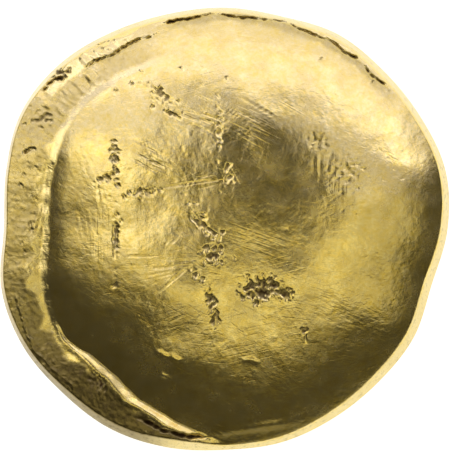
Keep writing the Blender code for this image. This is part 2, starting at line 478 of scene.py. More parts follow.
# %% Lines cut into the face
SEAMS = (
    # width, depth, then the run of places, all in millimetres from the coin's middle. A raised lip or ridge has
    # a depth of less than nothing.
    (0.05, 0.15, ((-2.65, 7.66), (-1.7, 7.93), (-0.49, 8.12), (0.58, 8.02), (2.28, 7.81), (3.31, 7.36),
        (3.99, 7.09), (4.56, 6.68), (5.05, 6.41))),
    (0.07, 0.22, ((-2.3, 7.76), (-1.7, 7.91), (-0.75, 8.08))),
    (0.06, 0.18, ((-0.1, 8.1), (0.6, 8.0), (1.4, 7.97))),
    (0.06, 0.18, ((4.1, 7.02), (4.6, 6.63), (5.05, 6.41))),
    (0.05, 0.15, ((5.25, 6.15), (5.5, 5.78), (6.08, 5.39))),
    (0.06, 0.16, ((-5.4, 5.94), (-5.02, 6.27), (-4.74, 6.41), (-4.36, 6.5), (-3.98, 6.79), (-3.69, 6.98),
        (-3.31, 7.13), (-2.84, 7.24), (-2.61, 7.36), (-2.17, 7.51))),
    (0.08, 0.18, ((-6.92, 5.12), (-6.66, 5.5), (-6.42, 5.69), (-6.02, 5.74))),
    (0.05, 0.1, ((-4.95, 6.85), (-4.41, 7.07))),
    (0.07, 0.14, ((-7.62, 2.84), (-7.4, 2.98), (-7.15, 3.02))),
    (0.11, 0.24, ((-3.37, -7.14), (-2.95, -7.3), (-2.27, -7.62), (-1.51, -7.8), (-0.6, -7.94))),
    (0.16, -0.03, ((-2.65, -4.52), (-2.2, -4.8), (-1.62, -4.97))),
    (0.14, -0.03, ((-2.5, -5.45), (-2.0, -5.7))),
    (0.14, -0.02, ((0.6, -4.9), (1.3, -5.05))),
    (0.09, -0.03, ((-7.96, -2.32), (-7.58, -3.65), (-7.2, -4.6), (-6.44, -5.35), (-5.68, -5.92))),
    (0.34, -0.05, ((-2.9, 7.8), (-1.85, 8.06), (0.2, 8.32), (1.5, 8.15), (2.7, 7.86), (4.0, 7.32),
        (5.2, 6.6))),
    (0.4, -0.06, ((-5.5, 6.15), (-5.05, 6.55), (-4.6, 6.7), (-3.9, 7.15), (-2.7, 7.58))),
)


def distance_to_run(x, y, run):
    """How far each point is from a run of straight pieces, and how far along the run, from 0 to 1."""
    best = np.full(x.shape, np.inf)
    along = np.zeros(x.shape)
    pieces = len(run) - 1
    for k, ((ax, ay), (bx, by)) in enumerate(zip(run, run[1:])):
        dx, dy = bx - ax, by - ay
        t = np.clip(((x - ax) * dx + (y - ay) * dy) / (dx * dx + dy * dy), 0, 1)
        distance = np.hypot(x - ax - t * dx, y - ay - t * dy)
        nearer = distance < best
        best = np.where(nearer, distance, best)
        along = np.where(nearer, (k + t) / pieces, along)
    return best, along


def wandering(x, y, size):
    """A small shift that changes along the coin, for lines that aren't ruled."""
    wave = np.sin(x * 2.9 + 1.7 * np.sin(y * 2.3)) + 0.7 * np.sin(y * 8.3 + 2.1 + 1.5 * np.sin(x * 3.7))
    return size * (wave + 0.5 * np.sin(x * 23.7 + y * 17.1 + 2 * np.sin(y * 5.1)))


def seam_drop(x, y):
    """The depth of all the seams, in metres. x and y are millimetres."""
    drop = np.zeros(x.shape)
    shifted_x = x + wandering(y, x, 0.020)
    shifted_y = y + wandering(x, y, 0.020)
    uneven = 1 + 0.45 * np.sin(x * 9.1 + 2 * np.sin(y * 4.7)) * np.sin(y * 13.3 + 1 + np.sin(x * 6.3))
    for width, depth, run in SEAMS:
        distance, along = distance_to_run(shifted_x, shifted_y, run)
        tapered = np.clip(np.minimum(along, 1 - along) / 0.12, 0.15, 1)
        cut = depth * tapered * uneven * np.exp(-((distance / (width / 2 * tapered**0.5 * uneven)) ** 2))
        drop = drop + cut if depth < 0 else np.where(cut > abs(drop), cut, drop)
    return drop * MM


print(len(SEAMS), "seams and cracks")

# %% [markdown]
# ## Pits and dents
#
# Gold doesn't rust, but it is soft: grit and tools leave pits with a torn floor and a slightly raised rim. The
# ones that the eye finds first are listed one by one. Many small ones follow by chance, thicker in a few worn
# patches, from a seeded generator so that every run gives the same coin.

# %% Where the pits are
PITS = (
    # x, y, half length, half breadth, turn, depth, in millimetres
    (-4.2, 3.3, 0.1, 0.07, 80, 0.05),
    (-4.17, 2.99, 0.12, 0.08, 80, 0.07),
    (-4.13, 2.61, 0.14, 0.08, 85, 0.08),
    (-4.09, 2.16, 0.12, 0.08, 90, 0.07),
    (-4.74, 1.86, 0.09, 0.06, 60, 0.05),
    (-4.13, -0.35, 0.62, 0.07, 89, 0.06),
    (-4.17, -2.13, 0.1, 0.08, 60, 0.06),
    (-3.2, 1.45, 0.16, 0.08, 10, 0.07),
    (-2.84, 1.31, 0.1, 0.07, 40, 0.05),
    (0.05, 2.3, 0.22, 0.07, 70, 0.08),
    (0.16, 1.92, 0.16, 0.08, 20, 0.07),
    (-1.1, 0.25, 0.34, 0.08, -48, 0.07),
    (-0.11, -0.12, 0.1, 0.09, 0, 0.08),
    (-0.72, -0.7, 0.16, 0.1, 30, 0.07),
    (-0.4, -1.02, 0.18, 0.12, -40, 0.09),
    (-0.14, -1.24, 0.1, 0.08, 0, 0.06),
    (-1.13, -1.75, 0.13, 0.1, 20, 0.08),
    (-0.6, -2.6, 0.24, 0.1, -60, 0.09),
    (-0.45, -3.5, 0.2, 0.08, 90, 0.08),
    (0.95, -2.2, 0.22, 0.14, 30, 0.09),
    (1.4, -2.45, 0.3, 0.18, -10, 0.13),
    (1.75, -2.1, 0.2, 0.13, 40, 0.09),
    (2.15, -2.45, 0.26, 0.12, -20, 0.09),
    (1.15, -2.8, 0.16, 0.1, 10, 0.08),
    (2.97, -3.84, 0.14, 0.11, 0, 0.1),
    (3.02, -4.1, 0.2, 0.04, 90, 0.05),
    (-2.46, 5.27, 0.14, 0.1, 30, 0.08),
    (-2.72, 4.59, 0.1, 0.08, 0, 0.06),
    (-2.02, 4.32, 0.34, 0.06, -20, 0.07),
    (-3.52, 5.46, 0.1, 0.08, 0, 0.06),
    (-3.18, 5.92, 0.09, 0.07, 0, 0.05),
    (-1.66, 6.03, 0.09, 0.08, 0, 0.05),
    (0.05, 5.65, 0.08, 0.07, 0, 0.05),
    (3.61, 6.41, 0.1, 0.07, 20, 0.05),
    (-4.13, 5.2, 0.1, 0.07, 0, 0.05),
)
PATCHES = (
    # x, y, spread along and across, turn, how many, largest half length, largest depth
    (1.3, -2.2, 0.42, 0.28, 20, 26, 0.15, 0.07),
    (2.2, -2.45, 0.24, 0.16, 0, 8, 0.12, 0.06),
    (-0.5, -0.95, 0.34, 0.26, 50, 18, 0.13, 0.06),
    (-0.75, 0.2, 0.55, 0.12, -50, 12, 0.11, 0.06),
    (-0.45, -2.8, 0.6, 0.14, -75, 14, 0.11, 0.06),
    (-4.15, 2.7, 0.75, 0.12, 86, 18, 0.11, 0.06),
    (-4.55, 1.9, 0.3, 0.14, 30, 6, 0.1, 0.05),
    (-4.1, 0.1, 0.9, 0.1, 89, 16, 0.09, 0.05),
    (-0.25, 3.8, 0.8, 0.08, 88, 12, 0.08, 0.05),
    (-2.5, 4.9, 0.45, 0.25, -40, 16, 0.12, 0.06),
    (-3.1, 1.35, 0.6, 0.15, 10, 14, 0.09, 0.04),
    (0.1, 2.0, 0.35, 0.15, 60, 8, 0.09, 0.04),
    (4.6, 2.2, 0.5, 0.45, 0, 20, 0.09, 0.04),
    (3.4, 3.3, 0.35, 0.25, 0, 8, 0.08, 0.03),
    (-7.5, 1.2, 0.2, 2.0, 0, 22, 0.1, 0.04),
    (-0.8, 0.5, 2.2, 2.4, 0, 90, 0.045, 0.018),
    (-1.2, 3.2, 1.8, 1.3, 0, 60, 0.045, 0.016),
    (4.6, 0.2, 1.6, 2.0, 0, 110, 0.06, 0.018),
    (-1.5, 6.2, 2.5, 0.7, 10, 30, 0.06, 0.025),
)


def all_pits():
    """The listed pits, then those that fell by chance. Each has its own uneven shape."""
    chance = np.random.default_rng(11)
    pits = [(*pit, chance.uniform(0, 360)) for pit in PITS]
    for x, y, spread_along, spread_across, turn, count, longest, deepest in PATCHES:
        cos, sin = math.cos(math.radians(turn)), math.sin(math.radians(turn))
        for _ in range(count):
            along, across = chance.normal(0, (spread_along, spread_across))
            size = longest * chance.uniform(0.3, 1)
            depth = deepest * chance.uniform(0.3, 1)
            pits.append((x + along * cos - across * sin, y + along * sin + across * cos, size,
                         size * chance.uniform(0.4, 0.9), chance.uniform(0, 180), depth, chance.uniform(0, 360)))
    return pits


def pit_drop(x, y):
    """The depth of all the pits, in metres, less the small rims that they pushed up."""
    drop = np.zeros(x.shape)
    for *oval, depth, shape in all_pits():
        pit_x, pit_y, half_length = oval[:3]
        near = np.hypot(x - pit_x, y - pit_y) < 2.5 * half_length
        along, across = in_oval(x[near], y[near], *oval)
        round_it = np.arctan2(across, along) + math.radians(shape)
        uneven = 0.9 + 0.26 * np.sin(3 * round_it) + 0.22 * np.sin(5 * round_it + shape)
        away = np.hypot(along, across) / uneven
        bowl = np.clip(1 - away**3, 0, 1)
        rim = np.exp(-(((away - 1.2) / 0.35) ** 2))
        drop[near] = np.maximum(drop[near], depth * bowl) - 0.06 * depth * rim
    return drop * MM


print(len(all_pits()), "pits")

# %% [markdown]
# The worst places aren't single pits but crumbled metal, where many run together. We get such a place from a soft
# bell and a random pattern of waves: the metal is gone where the two together pass a limit. The same waves, taken
# without their sign, are sharp creases, and they make the coarse skin of the ledge's outer flank. Waves that are
# drawn out from the middle make the striations inside the fold, where the metal was dragged.

# %% Crumbled and coarse metal
CRUMBLED = (
    # x, y, half length, half breadth, turn, depth, in millimetres
    (1.3, -2.25, 0.8, 0.46, 15, 0.1),
    (2.3, -2.45, 0.36, 0.24, 10, 0.08),
    (-0.42, -0.95, 0.46, 0.3, 45, 0.09),
    (-0.75, 0.05, 0.85, 0.18, -45, 0.07),
    (-0.5, -2.9, 0.9, 0.15, -80, 0.08),
    (-4.15, 2.75, 0.85, 0.14, 88, 0.07),
    (-4.5, 1.9, 0.34, 0.16, 30, 0.06),
    (-4.12, -0.15, 0.75, 0.12, 89, 0.07),
    (-2.45, 5.05, 0.55, 0.25, -35, 0.07),
    (-2.0, 4.32, 0.4, 0.11, -20, 0.07),
    (0.1, 2.05, 0.42, 0.16, 60, 0.035),
    (-3.1, 1.38, 0.7, 0.12, 8, 0.05),
    (-0.25, 3.85, 0.95, 0.15, 88, 0.06),
    (4.6, 2.2, 0.65, 0.55, 0, 0.025),
    (3.4, 3.3, 0.45, 0.32, 0, 0.025),
    (-6.2, 5.85, 0.45, 0.26, 20, 0.12),
    (-6.9, 4.15, 0.4, 0.32, 0, 0.06),
    (-4.8, -5.8, 0.5, 0.26, -45, 0.1),
)
CRUMB_WAVES = (90, 0.14, 0.5)  # how many, and the shortest and longest in millimetres
CREASE_WAVES = (90, 0.15, 0.8)
CREASE_HEIGHT = 0.008 * MM
STRIATION_WAVES = (90, 0.14, 0.6)
STRIATION_HEIGHT = 0.026 * MM
STRIATION_RADIUS = 8  # millimetres, where the waves have their true length round the coin
STRIATION_SQUEEZE = 0.3  # fewer waves along a striation than across it
STRIATION_END = (138, 158)  # degrees
STRIATION_LOSS = 0.83  # of the height, past that end


def random_waves(x, y, seed, count, shortest, longest):
    """A random pattern without a repeat, about 1 high. x, y and the lengths are millimetres."""
    chance = np.random.default_rng(seed)
    height = np.zeros(x.shape)
    for _ in range(count):
        length = shortest * (longest / shortest) ** chance.uniform()
        heading, start = chance.uniform(0, 2 * math.pi, 2)
        along = x * math.cos(heading) + y * math.sin(heading)
        height += math.sqrt(2 / count) * np.cos(2 * math.pi * along / length + start)
    return height


def crumbled_drop(x, y):
    """The depth of the crumbled places, in metres. x and y are millimetres."""
    waves = random_waves(x, y, 7, *CRUMB_WAVES)
    gone = np.zeros(x.shape)
    for *place, depth in CRUMBLED:
        inside = bell(x, y, *place)
        uneven = 0.5 * waves * np.minimum(3 * inside, 1)
        gone = np.maximum(gone, depth * np.clip(1.5 * inside + uneven - 0.85, 0, 1))
    return gone * MM


def crease_drop(angle, share, reach, x, y):
    """The creases of the coarse flank and the striations, in metres. x and y are millimetres."""
    coarse = coarse_share(angle, share, reach)
    creases = CREASE_HEIGHT * (1 - abs(random_waves(x, y, 8, *CREASE_WAVES)))
    around = STRIATION_RADIUS * np.radians(angle)
    outwards = STRIATION_SQUEEZE * share * reach / MM
    striations = STRIATION_HEIGHT * random_waves(around, outwards, 9, *STRIATION_WAVES)
    striations = striations * (1 - STRIATION_LOSS * eased(angle, *STRIATION_END))
    return coarse * creases + np.minimum(coarse, MARGIN_COARSENESS) * striations


print(len(CRUMBLED), "crumbled places")

# %% [markdown]
# ## Scratches
#
# A scratch is a straight or slightly bent groove with a burr on each side. The widest are part of the mesh. The
# hair-fine ones are left to the material, since they are narrower than a face of the mesh.

# %% Where the scratches run
SCRATCHES = (
    # from x, y to x, y, width and depth, in millimetres
    (-2.84, 1.48, 0.0, 1.93, 0.07, 0.02),
    (-2.65, -2.51, -1.32, -1.37, 0.08, 0.025),
    (3.46, 2.85, 3.46, 1.9, 0.08, -0.025),
    (-2.35, 4.44, -1.7, 4.21, 0.09, 0.03),
)
SCRATCH_PATCHES = (
    # x, y, spread, how many, turn, spread of the turn, length, depth
    (-0.9, 4.5, 0.4, 10, -25, 5, 1.0, 0.022),
    (0.6, 4.3, 0.5, 10, -28, 6, 1.1, 0.018),
    (-3.0, 2.85, 0.26, 12, -28, 3, 0.8, 0.022),
    (-4.6, 0.0, 0.55, 10, 88, 6, 1.0, 0.01),
    (-2.6, -1.3, 0.5, 8, 4, 7, 1.0, 0.012),
    (-2.6, -3.4, 0.5, 6, 24, 8, 0.8, 0.008),
    (4.3, 2.2, 0.6, 12, 86, 8, 0.7, 0.01),
    (0.0, 0.0, 3.0, 40, 0, 90, 0.7, 0.006),
)


def all_scratches():
    chance = np.random.default_rng(5)
    scratches = list(SCRATCHES)
    for x, y, spread, count, turn, turn_spread, length, depth in SCRATCH_PATCHES:
        for _ in range(count):
            start_x, start_y = np.array((x, y)) + chance.normal(0, spread, 2)
            heading = math.radians(turn + chance.normal(0, turn_spread))
            run = length * chance.uniform(0.4, 1.4)
            scratches.append((start_x, start_y, start_x + run * math.cos(heading),
                              start_y + run * math.sin(heading), chance.uniform(0.05, 0.08),
                              depth * chance.uniform(0.5, 1.2)))
    return scratches


def scratch_drop(x, y):
    """The depth of all the scratches, in metres, less their burrs."""
    drop = np.zeros(x.shape)
    for ax, ay, bx, by, width, depth in all_scratches():
        reach = 3 * width
        near = (x > min(ax, bx) - reach) & (x < max(ax, bx) + reach)
        near &= (y > min(ay, by) - reach) & (y < max(ay, by) + reach)
        distance, along = distance_to_run(x[near], y[near], ((ax, ay), (bx, by)))
        fading = np.clip(4 * along * (1 - along), 0, 1)
        groove = np.exp(-((distance / (width / 2)) ** 2))
        burr = np.exp(-(((distance - width) / (width / 2)) ** 2))
        drop[near] += depth * fading * (groove - 0.3 * burr)
    return drop * MM


print(len(all_scratches()), "scratches")

# %% [markdown]
# ## Worn skin
#
# Between the marks the gold isn't smooth either. Handling and burial gave it a skin of very low bumps, of the
# order of a few thousandths of a millimetre. A sum of many shallow waves in all directions gives such a skin,
# with no pattern that repeats.

# %% Low bumps
SKINS = (
    # height in millimetres, number of waves, shortest and longest in millimetres
    (0.0045, 40, 1.2, 3.0),
    (0.0016, 60, 0.5, 1.2),
    (0.0008, 80, 0.24, 0.5),
    (0.0006, 90, 0.14, 0.24),
)


def skin_height(x, y):
    skins = (size * random_waves(x, y, 3 + k, *waves) for k, (size, *waves) in enumerate(SKINS))
    return MM * sum(skins)


print(sum(row[1] for row in SKINS), "waves in the skin")

# %% [markdown]
# ## The two faces
#
# Now the bulging face is the dome, less everything that is carved out of it. Close to the edge the carving fades
# out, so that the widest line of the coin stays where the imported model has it.
#
# The hollow face isn't in the photograph. On coins of this kind it is a shallow dish inside a rounded rim, and
# here it stays plain, with only its wear. The rim is worn flat in three places, on which the coin lies.

# %% Height of the bulging face and of the hollow face
MIDDLE_THICKNESS = 1.83 * MM
RIM_WAVE = 0.16 * MM
RIM_WORN = 0.09 * MM
RIM_SHARE = 0.87
RIM_LOW_ANGLE = 95
DISH_ROUNDING = 1.35
DISH_WEAR = 1.5  # as deep as that of the bulging face
DISH_SHIFT = 40  # millimetres, so that its wear has another pattern
EDGE_FADE = (80, 90)  # section angles over which the carving fades out


def place_on_coin(angle, section):
    """The share and reach of each point, and its x and y in millimetres."""
    share = np.sin(np.radians(section))
    reach = edge_share(angle) * HALF_WIDTH
    out = share * reach / MM
    return share, reach, out * np.cos(np.radians(angle)), out * np.sin(np.radians(angle))


def marks_drop(x, y):
    """Pits, scratches and seams together, in metres. x and y are millimetres."""
    pits = np.maximum(pit_drop(x, y), crumbled_drop(x, y))
    return pits + scratch_drop(x, y) + seam_drop(x, y)


def bulge_height(angle, section):
    """section is 0 degrees at the crown and 90 at the edge."""
    share, reach, x, y = place_on_coin(angle, section)
    carved = hollow_drop(x, y) + marks_drop(x, y) - skin_height(x, y)
    carved = carved + crease_drop(angle, share, reach, x, y)
    return plain_height(angle, share, reach) - carved * (1 - eased(section, *EDGE_FADE))


def dish_height(angle, section):
    share, _, x, y = place_on_coin(angle, section)
    wave = RIM_WAVE * (1 - np.cos(np.radians(3 * (angle - RIM_LOW_ANGLE)))) / 2
    outward = np.clip((share - RIM_SHARE) / (1 - RIM_SHARE), 0, 1)
    rounding = 1 - np.sqrt(1 - outward**2)
    inward = 1 - np.clip(share / RIM_SHARE, 0, 1) ** 2
    rim = (wave - RIM_WORN) * (1 - outward**2) * (1 - inward)
    dish = (BULGE_TOP - MIDDLE_THICKNESS) * inward**DISH_ROUNDING
    worn = DISH_WEAR * skin_height(x + DISH_SHIFT, y) * (1 - eased(section, *EDGE_FADE))
    return np.maximum(rim + EDGE_HEIGHT * rounding + dish + worn, 0)


print("the coin's middle is", round(MIDDLE_THICKNESS / MM, 2), "mm thick")

# %% [markdown]
# ## The mesh
#
# A round thing invites a round mesh, but rings and spokes crowd together in the middle and spread out at the
# edge. A square grid pressed into a circle has faces of nearly one size everywhere, so every scratch gets as
# many as the next. The hollow face has less to show, so its grid has a third of the rows. Its outer edges are cut
# in three, and then the two outlines match point for point and can be welded.

# %% A flat grid pressed into a circle
FACE_ROWS = 294
HOLLOW_ROWS = FACE_ROWS // 3
STEEPNESS_WEIGHT = 1.5  # above 1, the steep rim gets more rings


def ring_and_angle(square_x, square_y):
    """Where a point of a square from -1 to 1 lands in the circle: its ring from 0 to 1, and its angle."""
    ring = np.maximum(abs(square_x), abs(square_y))
    safe = np.where(ring > 0, ring, 1)
    sideways = abs(square_x) >= abs(square_y)
    from_x = 45 * square_y / safe * np.sign(square_x)
    from_y = 90 - 45 * square_x / safe * np.sign(square_y)
    turn = np.where(sideways, from_x, from_y)
    behind = np.where(sideways, square_x < 0, square_y < 0)
    return ring, (turn + 180 * behind) % 360


def section_of(ring):
    """The section angle of each ring, so that the rings are evenly spaced along the profile."""
    angles = np.linspace(0, math.pi / 2, 2000)
    bulge = STEEPNESS_WEIGHT * (BULGE_TOP - EDGE_HEIGHT)
    steps = np.hypot(HALF_WIDTH * np.cos(angles), bulge * np.sin(angles))
    length = np.concatenate(([0], np.cumsum(steps[1:])))
    return np.interp(ring, length / length[-1], np.degrees(angles))


def struck_face(name, rows, height):
    """One face of the coin, from a square grid. height is its function of angle and section."""
    sheet = bmesh.new()
    bmesh.ops.create_grid(sheet, x_segments=rows, y_segments=rows, size=1)
    if rows < FACE_ROWS:
        outline = [edge for edge in sheet.edges if edge.is_boundary]
        bmesh.ops.subdivide_edges(sheet, edges=outline, cuts=FACE_ROWS // rows - 1)
    square = np.array([v.co for v in sheet.verts])
    ring, angle = ring_and_angle(square[:, 0], square[:, 1])
    section = section_of(ring)
    out = np.sin(np.radians(section)) * edge_share(angle) * HALF_WIDTH
    places = (out * np.cos(np.radians(angle)), out * np.sin(np.radians(angle)), height(angle, section))
    data = bpy.data.meshes.new(name)
    sheet.to_mesh(data)
    sheet.free()
    data.vertices.foreach_set("co", np.column_stack(places).ravel())
    return data


bulging_face = struck_face("bulging_face", FACE_ROWS, bulge_height)
hollow_face = struck_face("hollow_face", HOLLOW_ROWS, dish_height)
hollow_face.flip_normals()
hollow_face.polygons.foreach_set("material_index", np.ones(len(hollow_face.polygons), dtype=np.int32))
print(len(bulging_face.polygons), "and", len(hollow_face.polygons), "faces")

# %% [markdown]
# So far the faces are two sheets. We put them into one mesh, weld their outlines, and count the edges that stay
# open: a solid thing has none. One sheet with a thickness would be closed too, but then the hollow face would
# repeat every mark of the bulging one.

# %% Weld the two faces along the edge
coin_mesh = bmesh.new()
coin_mesh.from_mesh(bulging_face)
coin_mesh.from_mesh(hollow_face)
outline = [v for v in coin_mesh.verts if v.is_boundary]
bmesh.ops.remove_doubles(coin_mesh, verts=outline, dist=1e-6)
bmesh.ops.triangulate(coin_mesh, faces=coin_mesh.faces)
open_edges = sum(not edge.is_manifold for edge in coin_mesh.edges)
print(len(coin_mesh.faces), "triangles,", open_edges, "open edges")

# %% [markdown]
# The mesh becomes an object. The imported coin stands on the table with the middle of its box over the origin, so
# the fine one is moved by the little that puts it there too.

# %% The coin as an object
points = np.array([v.co for v in coin_mesh.verts])
middle = (points.min(0) + points.max(0)) / 2
shift = Vector((middle[0], middle[1], points[:, 2].min()))
bmesh.ops.translate(coin_mesh, verts=coin_mesh.verts, vec=-shift)
coin_data = bpy.data.meshes.new("gold_flan")
coin_mesh.to_mesh(coin_data)
coin_mesh.free()
coin_data.shade_smooth()
coin = bpy.data.objects.new("gold_flan", coin_data)
bpy.context.scene.collection.objects.link(coin)
print("the fine coin is", [round(side / MM, 3) for side in coin.dimensions], "mm")

# %% [markdown]
# ## Where the metal is dirty, coarse or rubbed, and where shade and highlights are painted
#
# The material has to know which places are deep, coarse or rubbed bright. We could paint that by hand, but the
# functions that carved them know it already, so we write three numbers on the mesh for each vertex.
#
# Earth stays in the pits. The seams and the ledge's groove get painted shade. The ledge's outer flank was never
# under the die: its metal is coarse, and grit sticks to it; its darker colour is partly painted shade. What
# stands out is rubbed, and its paler colour is partly a painted highlight: the rim, the folded edge and the
# crest.

# %% Dirt, coarseness and rubbing for each vertex
DIRTY_PIT = 0.08 * MM  # a pit this deep is full of earth
# a seam this deep is painted fully dark: painted shade in the crack
SHADED_SEAM = 0.20 * MM
# the painted shadow along the ledge's groove: how broad it is, and the angles where it starts
GROOVE_SHADOW_WIDTH = 0.06 * MM
GROOVE_SHADOW_START = (205, 225)
DIRT_AND_SHADE_SHARES = (0.5, 0.8, 1.0)  # how dark the groove's painted shadow, the earth in the pits and the painted shade in the seams are
RIM_COARSENESS = 0.3
RUBBED_AND_HIGHLIGHT_SHARES = (0.5, 0.25, 0.65)  # how pale the rim, the folded edge and the crest are, from rubbing and painted highlight
DEEPEST_MARK = 0.6 * MM  # what lies deeper under the bulge belongs to the hollow face


def polar(points):
    """The angle, share and reach of each vertex."""
    angle = np.degrees(np.arctan2(points[:, 1], points[:, 0])) % 360
    reach = edge_share(angle) * HALF_WIDTH
    return angle, np.hypot(points[:, 0], points[:, 1]) / reach, reach


def greatest(shares, numbers):
    """The greatest number at each vertex, once each is multiplied by its share."""
    return np.maximum.reduce([share * number for share, number in zip(shares, numbers)])


def dirt_and_shade_at(points):
    angle, share, reach = polar(points)
    x, y = points[:, 0] / MM, points[:, 1] / MM
    # painted shadow along the groove under the lip
    groove = np.exp(-(((groove_share(angle) - share) * reach / GROOVE_SHADOW_WIDTH) ** 2))
    groove *= ledge_strength(angle) * eased(angle, *GROOVE_SHADOW_START)
    pits = np.clip(np.maximum(pit_drop(x, y), crumbled_drop(x, y)) / DIRTY_PIT, 0, 1)
    # painted shade in the seams
    seams = np.clip(seam_drop(x, y) / SHADED_SEAM, 0, 1)
    return greatest(DIRT_AND_SHADE_SHARES, (groove, pits, seams))


points = np.array([v.co for v in coin_data.vertices]) + np.array(shift)
places = polar(points)
on_bulge = points[:, 2] > plain_height(*places) - DEEPEST_MARK
rubbed_and_highlight = rubbed_and_highlight_places(*places)
# the masks: earth with painted shade, coarse metal, and rubbing with painted highlight
kinds = {
    "dirt_and_shade": dirt_and_shade_at(points),
    "coarse": np.maximum(coarse_share(*places), RIM_COARSENESS * rubbed_and_highlight[0]),
    "rubbed_and_highlight": greatest(RUBBED_AND_HIGHLIGHT_SHARES, rubbed_and_highlight),
}
for name, numbers in kinds.items():
    layer = coin_data.attributes.new(name, "FLOAT", "POINT")
    layer.data.foreach_set("value", np.where(on_bulge, numbers, 0).astype(np.float32))
    print(name, "on", int((numbers > 0.5).sum()), "vertices")

# %% [markdown]
# ## The gold
#
# Old gold is a metal with a warm mirror, scattered by wear. Three things are the same on both faces, so each is a
# node group that both materials use: the grain of the skin, the hairlines, which are scratches finer than a face
# of the mesh, and the earth that stayed in the deep places, with the painted shade of the seams and the groove.
#
# We first write small helpers. The first adds a node and fills its sockets, and the others build on it.

# %% Helpers for nodes
MICRON = 1e-6


def node(tree, kind, inputs=None, **settings):
    """Add a node. inputs names its sockets: a number or colour sets one, and a socket is linked to it."""
    new = tree.nodes.new(kind)
    for name, value in settings.items():
        setattr(new, name, value)
    for socket, value in (inputs or {}).items():
        if isinstance(value, bpy.types.NodeSocket):
            tree.links.new(value, new.inputs[socket])
        else:
            new.inputs[socket].default_value = value
    return new


def maths(tree, operation, first, second, clamp=False):
    return node(tree, "ShaderNodeMath", {0: first, 1: second}, operation=operation, use_clamp=clamp).outputs[0]


def times(tree, first, second):
    return maths(tree, "MULTIPLY", first, second)


def mapped(tree, vector, **sockets):
    """A vector that a Mapping node has turned or scaled."""
    return node(tree, "ShaderNodeMapping", {"Vector": vector, **sockets}).outputs[0]


def spread(tree, value, low, high, to_low=0.0, to_high=1.0):
    """Stretch a value from between low and high to between to_low and to_high."""
    ends = {"Value": value, "From Min": low, "From Max": high, "To Min": to_low, "To Max": to_high}
    return node(tree, "ShaderNodeMapRange", ends).outputs["Result"]


def new_group(name, outputs):
    group = bpy.data.node_groups.new(name, "ShaderNodeTree")
    for output in outputs:
        group.interface.new_socket(output, in_out="OUTPUT", socket_type="NodeSocketFloat")
    return group


def millimetres(tree, turn=0.0, stretch=1.0):
    """Places on the coin in millimetres, turned in the plane and squeezed along the turned X."""
    place = node(tree, "ShaderNodeTexCoord").outputs["Object"]
    turned = mapped(tree, place, Rotation=(0, 0, math.radians(-turn)))
    return mapped(tree, turned, Scale=(1 / stretch / MM, 1 / MM, 1 / MM))


def noise(tree, place, scale, detail=3.0, roughness=0.6):
    sockets = {"Vector": place, "Scale": scale, "Detail": detail, "Roughness": roughness}
    return node(tree, "ShaderNodeTexNoise", sockets).outputs[0]


def number_on_mesh(tree, name):
    return node(tree, "ShaderNodeAttribute", attribute_type="GEOMETRY", attribute_name=name).outputs["Fac"]


def mix(tree, share, first, second):
    """The first colour where the share is 0, and the second where it is 1."""
    colours = {0: share, 6: first, 7: second}  # the numbers of a Mix node's sockets for colours
    return node(tree, "ShaderNodeMix", colours, data_type="RGBA").outputs[2]


print("node helpers are ready")

# %% [markdown]
# The grain is a fine noise with a broad one under it, and it becomes a bump in the material: grains this small
# would need millions of faces. The same group says where the skin is blotched, and where the gold is lighter.

# %% The grain
GRAIN_PER_MM = 8.5

grain = new_group("gold_grain", ("Height", "Mottle", "Tint"))
place = millimetres(grain)
fine = noise(grain, place, GRAIN_PER_MM, 2.0, 0.6)
broad = noise(grain, place, 2.4, 3.0)
height = maths(grain, "ADD", times(grain, broad, 0.3), fine)
mottle = spread(grain, noise(grain, place, 1.1, 6.0, 0.65), 0.32, 0.68)
halves = [spread(grain, size, 0.35, 0.65, 0, 0.5) for size in (fine, broad)]
node(grain, "NodeGroupOutput", {"Height": height, "Mottle": mottle, "Tint": maths(grain, "ADD", *halves)})
print("the grain is", round(1 / GRAIN_PER_MM, 3), "mm wide")

# %% [markdown]
# A hairline is a noise that is stretched many times along one direction, and of which only the crests are kept.
# Three directions together look like chance. A broad noise keeps them to patches, as real rubbing does. Where the
# photograph shows a fan of scratches side by side, an oval patch gets its own direction.

# %% The hairlines
HAIRLINE_TURNS = ((-30, 9.0), (-8, 8.0), (14, 10.0))  # degrees, and lines in a millimetre
FAN_LINES = 8.0
HAIRLINE_STRETCH = 14.0
FAN_STRETCH = 16.0
FANS = (
    # x, y, half length, half breadth, in millimetres, turn, and strength
    (-1.3, 4.25, 1.15, 0.5, -22, 5.0),
    (-2.72, 2.69, 0.75, 0.5, -28, 6.0),
    (0.58, 3.94, 1.6, 0.75, -27, 3.2),
    (-2.46, -1.29, 1.4, 0.42, 3, 2.0),
    (-4.55, -0.23, 1.2, 0.65, 88, 1.3),
    (4.4, 2.05, 0.9, 0.95, 87, 1.0),
    (-2.27, -3.46, 1.1, 0.5, 22, 1.6),
    (-0.75, 1.78, 0.9, 0.26, 8, 2.5),
    (0.2, 2.0, 0.55, 0.32, -60, 2.5),
    (4.6, -2.6, 2.4, 1.5, -24, 1.0),
    (1.2, -0.4, 1.6, 0.8, -20, 1.0),
)
hairlines = new_group("hairlines", ("Lines",))
lines = None
for turn, scale in HAIRLINE_TURNS:
    streak = noise(hairlines, millimetres(hairlines, turn, HAIRLINE_STRETCH), scale, 1.0)
    patch = noise(hairlines, millimetres(hairlines, turn + 40), 0.55, 2.0)
    crests, rubbing = spread(hairlines, streak, 0.60, 0.72), spread(hairlines, patch, 0.46, 0.60)
    line = times(hairlines, crests, rubbing)
    lines = line if lines is None else maths(hairlines, "ADD", lines, line, clamp=True)
